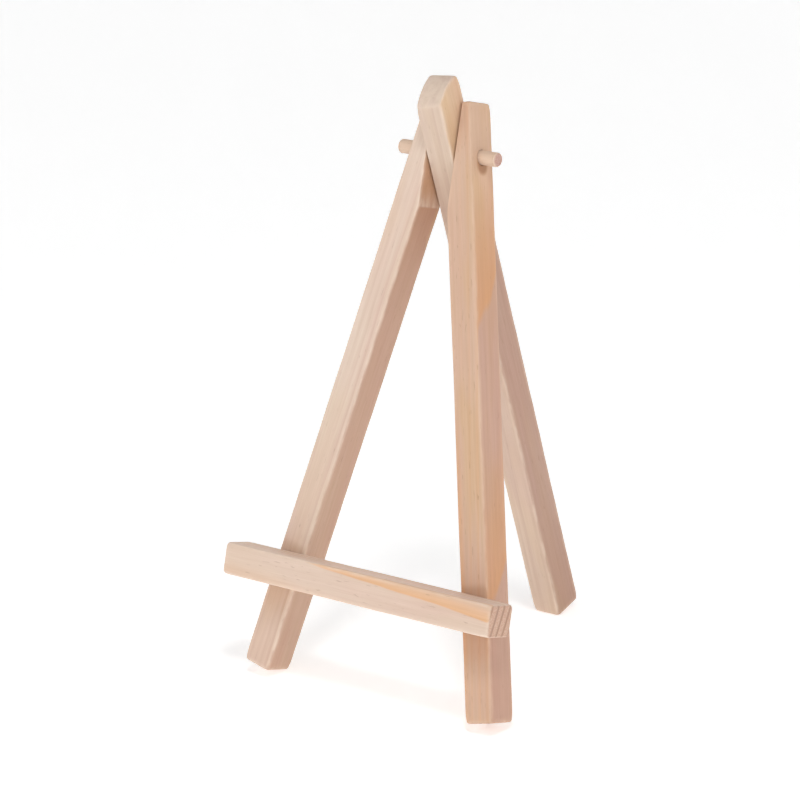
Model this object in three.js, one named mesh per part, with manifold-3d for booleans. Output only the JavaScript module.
// Table-top artist easel of plain pine sticks.
//
// Two front legs form an A-frame that leans back.  Their inner faces are mitred
// at the top, so that the rear leg fits between them.  A wooden dowel runs
// through all three.  It is glued into the front legs, and the rear leg turns
// on it.  A ledge is glued across the front legs and carries the canvas.
//
// Millimetres, +Z up, +X to the right seen from the front, +Y to the back.
// The origin is the middle of the footprint, on the table.

import * as THREE from 'three';
import { mergeVertices } from 'three/addons/utils/BufferGeometryUtils.js';
import Module from 'manifold-3d';

const wasm = await Module();
wasm.setup();

// ---------------------------------------------------------------- sizes

// The stick that every piece is cut from.
const STICK_WIDTH = 6.7; // across the front
const STICK_DEPTH = 7.4; // front to back
const EDGE_RADIUS = 0.4; // the eased long edges

// The A-frame.
const FRONT_LEG_LENGTH = 125;
const FRONT_LEG_ABOVE_PIVOT = 10.5;
const SPLAY_ANGLE = 12.6; // each front leg, from the frame's centre line
const LEAN_ANGLE = 16.5; // the frame, from upright
const LEG_OFFSET_AT_PIVOT = 4.45; // centre line of a front leg, from the frame's centre line

// The rear leg.
const REAR_LEG_ANGLE = 16; // from upright, to the back
const REAR_LEG_ABOVE_PIVOT = 16.9;
const HEAD_BEVEL_START = 12.6; // up the front face, from the pivot
const HEAD_TOP_RADIUS = 1.6; // where the bevel turns over into the back face

// The ledge.
const LEDGE_LENGTH = 69.5;
const LEDGE_TOP_BELOW_PIVOT = 86.6; // down the frame's front
const LEDGE_SHIFT = -0.9; // the ledge's middle, from the frame's centre line

// The dowel.
const DOWEL_DIAMETER = 3;
const DOWEL_LENGTH = 25;
const DOWEL_SHIFT = -0.4; // the dowel's middle, from the frame's centre line
const DOWEL_END_DOME = 0.35; // how far the rounded ends stand out

// Clearances between pieces.
const MITRE_GAP = 0.3; // each side of the rear leg
const GLUE_GAP = 0.3; // ledge to front legs
const DOWEL_HOLE_GAP = 0.3; // round the dowel

// Facets.
const EDGE_SEGMENTS = 4;
const ROUND_SEGMENTS = 32;
const DOME_SEGMENTS = 5;

const PINE = { light: 0xe0c0a6, mid: 0xd8b596, warm: 0xd9b18c, dowel: 0xe2c5a8 };

// ------------------------------------------------------- derived sizes

const radians = THREE.MathUtils.degToRad;
const splay = radians(SPLAY_ANGLE);
const lean = radians(LEAN_ANGLE);
const rearAngle = radians(REAR_LEG_ANGLE);
const dowelRadius = DOWEL_DIAMETER / 2;
// The flats of the round hole's facets keep the whole gap.
const dowelHoleRadius = (dowelRadius + DOWEL_HOLE_GAP) / Math.cos(Math.PI / ROUND_SEGMENTS);
const mitreHalfGap = STICK_WIDTH / 2 + MITRE_GAP;
const frontLegBelowPivot = FRONT_LEG_LENGTH - FRONT_LEG_ABOVE_PIVOT;

// The front feet are cut square, so each stands on the rounded corner that
// points down the most.
function footCornerDrop() {
  const across = Math.cos(lean) * Math.sin(splay);
  const deep = Math.sin(lean);
  const flatAcross = STICK_WIDTH / 2 - EDGE_RADIUS;
  const flatDeep = STICK_DEPTH / 2 - EDGE_RADIUS;
  return across * flatAcross + deep * flatDeep + EDGE_RADIUS * Math.hypot(across, deep);
}

const pivotHeight = Math.cos(lean) * Math.cos(splay) * frontLegBelowPivot + footCornerDrop();
// The rear leg stands on its front bottom edge, at the front feet's level.
const rearLegBelowPivot =
  (pivotHeight - (Math.sin(rearAngle) * STICK_DEPTH) / 2) / Math.cos(rearAngle);

// --------------------------------------------------------------- solids

function toSolid(geometry) {
  const bare = geometry.clone();
  bare.deleteAttribute('normal');
  bare.deleteAttribute('uv');
  const welded = mergeVertices(bare, 1e-4);
  return new wasm.Manifold(
    new wasm.Mesh({
      numProp: 3,
      vertProperties: new Float32Array(welded.attributes.position.array),
      triVerts: new Uint32Array(welded.index.array),
    })
  );
}

function toMesh(name, solid, color) {
  const { vertProperties, triVerts } = solid.getMesh();
  const geometry = new THREE.BufferGeometry();
  geometry.setAttribute('position', new THREE.BufferAttribute(vertProperties, 3));
  geometry.setIndex(new THREE.BufferAttribute(triVerts, 1));
  geometry.computeVertexNormals();
  const material = new THREE.MeshStandardMaterial({ color, roughness: 0.75, metalness: 0 });
  material.flatShading = true;
  const mesh = new THREE.Mesh(geometry, material);
  mesh.name = name;
  return mesh;
}

// A rectangle with rounded corners, centred on the origin.
function stickOutline(width, depth) {
  const right = width / 2;
  const back = depth / 2;
  const corner = EDGE_RADIUS;
  const outline = new THREE.Shape();
  outline.moveTo(-right + corner, -back);
  outline.lineTo(right - corner, -back);
  outline.absarc(right - corner, -back + corner, corner, -Math.PI / 2, 0, false);
  outline.lineTo(right, back - corner);
  outline.absarc(right - corner, back - corner, corner, 0, Math.PI / 2, false);
  outline.lineTo(-right + corner, back);
  outline.absarc(-right + corner, back - corner, corner, Math.PI / 2, Math.PI, false);
  outline.lineTo(-right, -back + corner);
  outline.absarc(-right + corner, -back + corner, corner, Math.PI, 1.5 * Math.PI, false);
  return outline;
}

// A square-cut stick along Z, from bottom to top.
function stick(bottom, top) {
  const options = { depth: top - bottom, bevelEnabled: false, curveSegments: EDGE_SEGMENTS };
  const geometry = new THREE.ExtrudeGeometry(stickOutline(STICK_WIDTH, STICK_DEPTH), options);
  return geometry.translate(0, 0, bottom);
}

// The hole for the dowel: a cylinder on the pivot's axis, past every piece.
function dowelHole() {
  const geometry = new THREE.CylinderGeometry(
    dowelHoleRadius,
    dowelHoleRadius,
    2 * DOWEL_LENGTH,
    ROUND_SEGMENTS
  );
  return toSolid(geometry.rotateZ(Math.PI / 2));
}

// The room between the two mitred faces, which the rear leg stands in.
function mitreRoom() {
  const height = 2 * FRONT_LEG_LENGTH;
  return toSolid(new THREE.BoxGeometry(2 * mitreHalfGap, 2 * STICK_DEPTH, height));
}

// A front leg in the frame's own upright plane, with the pivot at its origin.
// side is -1 for the left leg and 1 for the right.
function frontLeg(side) {
  const geometry = stick(-frontLegBelowPivot, FRONT_LEG_ABOVE_PIVOT);
  geometry.rotateY(-side * splay);
  geometry.translate(side * LEG_OFFSET_AT_PIVOT, 0, 0);
  return toSolid(geometry).subtract(mitreRoom()).subtract(dowelHole());
}

// The rear leg seen from its side: square foot, bevelled head.
// The outline's X is the leg's depth, its Y is the leg's length.
function rearLegSide() {
  const half = STICK_DEPTH / 2;
  const top = REAR_LEG_ABOVE_PIVOT;
  const outline = new THREE.Shape();
  outline.moveTo(-half, -rearLegBelowPivot);
  outline.lineTo(half, -rearLegBelowPivot);
  outline.lineTo(half, top - HEAD_TOP_RADIUS);
  outline.quadraticCurveTo(half, top, half - HEAD_TOP_RADIUS, top - HEAD_TOP_RADIUS / 4);
  outline.lineTo(-half, HEAD_BEVEL_START);
  return outline;
}

// The rear leg, upright, with the pivot at its origin.
function rearLeg() {
  const options = { depth: 2 * STICK_WIDTH, bevelEnabled: false, curveSegments: 6 };
  const side = new THREE.ExtrudeGeometry(rearLegSide(), options);
  side.translate(0, 0, -STICK_WIDTH);
  // Extruded along Z, and turned so that depth is Y, length is Z and width is X.
  side.rotateY(Math.PI / 2);
  side.rotateX(Math.PI / 2);
  const body = toSolid(stick(-rearLegBelowPivot - 1, REAR_LEG_ABOVE_PIVOT + 1));
  return body.intersect(toSolid(side)).subtract(dowelHole());
}

// The ledge in the frame's own plane: the same stick, laid across.
function ledge() {
  const geometry = stick(-LEDGE_LENGTH / 2, LEDGE_LENGTH / 2);
  geometry.rotateY(Math.PI / 2);
  const front = -(STICK_DEPTH / 2 + GLUE_GAP + STICK_DEPTH / 2);
  geometry.translate(LEDGE_SHIFT, front, -LEDGE_TOP_BELOW_PIVOT - STICK_WIDTH / 2);
  return toSolid(geometry);
}

// The dowel along X, with domed ends.
function dowelPin() {
  const straight = DOWEL_LENGTH / 2 - DOWEL_END_DOME;
  const rise = (end, step) => {
    const turn = ((step / DOME_SEGMENTS) * Math.PI) / 2;
    const reach = straight + DOWEL_END_DOME * Math.sin(turn);
    return new THREE.Vector2(dowelRadius * Math.cos(turn), end * reach);
  };
  const profile = [];
  for (let step = DOME_SEGMENTS; step >= 0; step -= 1) {
    profile.push(rise(-1, step));
  }
  for (let step = 0; step <= DOME_SEGMENTS; step += 1) {
    profile.push(rise(1, step));
  }
  profile[0].x = 0;
  profile[profile.length - 1].x = 0;
  const geometry = new THREE.LatheGeometry(profile, ROUND_SEGMENTS);
  geometry.rotateZ(-Math.PI / 2);
  geometry.translate(DOWEL_SHIFT, 0, 0);
  return toSolid(geometry);
}

// ------------------------------------------------------------- assembly

const frame = new THREE.Group();
frame.rotation.x = -lean;
frame.add(toMesh('left_leg', frontLeg(-1), PINE.light));
frame.add(toMesh('right_leg', frontLeg(1), PINE.mid));
frame.add(toMesh('ledge', ledge(), PINE.light));
frame.add(toMesh('dowel_pin', dowelPin(), PINE.dowel));

const rear = new THREE.Group();
rear.rotation.x = rearAngle;
rear.add(toMesh('rear_leg', rearLeg(), PINE.warm));

const easel = new THREE.Group();
easel.add(frame, rear);
easel.position.z = pivotHeight;

// The origin goes to the middle of the footprint.
easel.updateMatrixWorld(true);
const footprint = new THREE.Box3().setFromObject(easel, true);
easel.position.x = -(footprint.min.x + footprint.max.x) / 2;
easel.position.y = -(footprint.min.y + footprint.max.y) / 2;

export default easel;
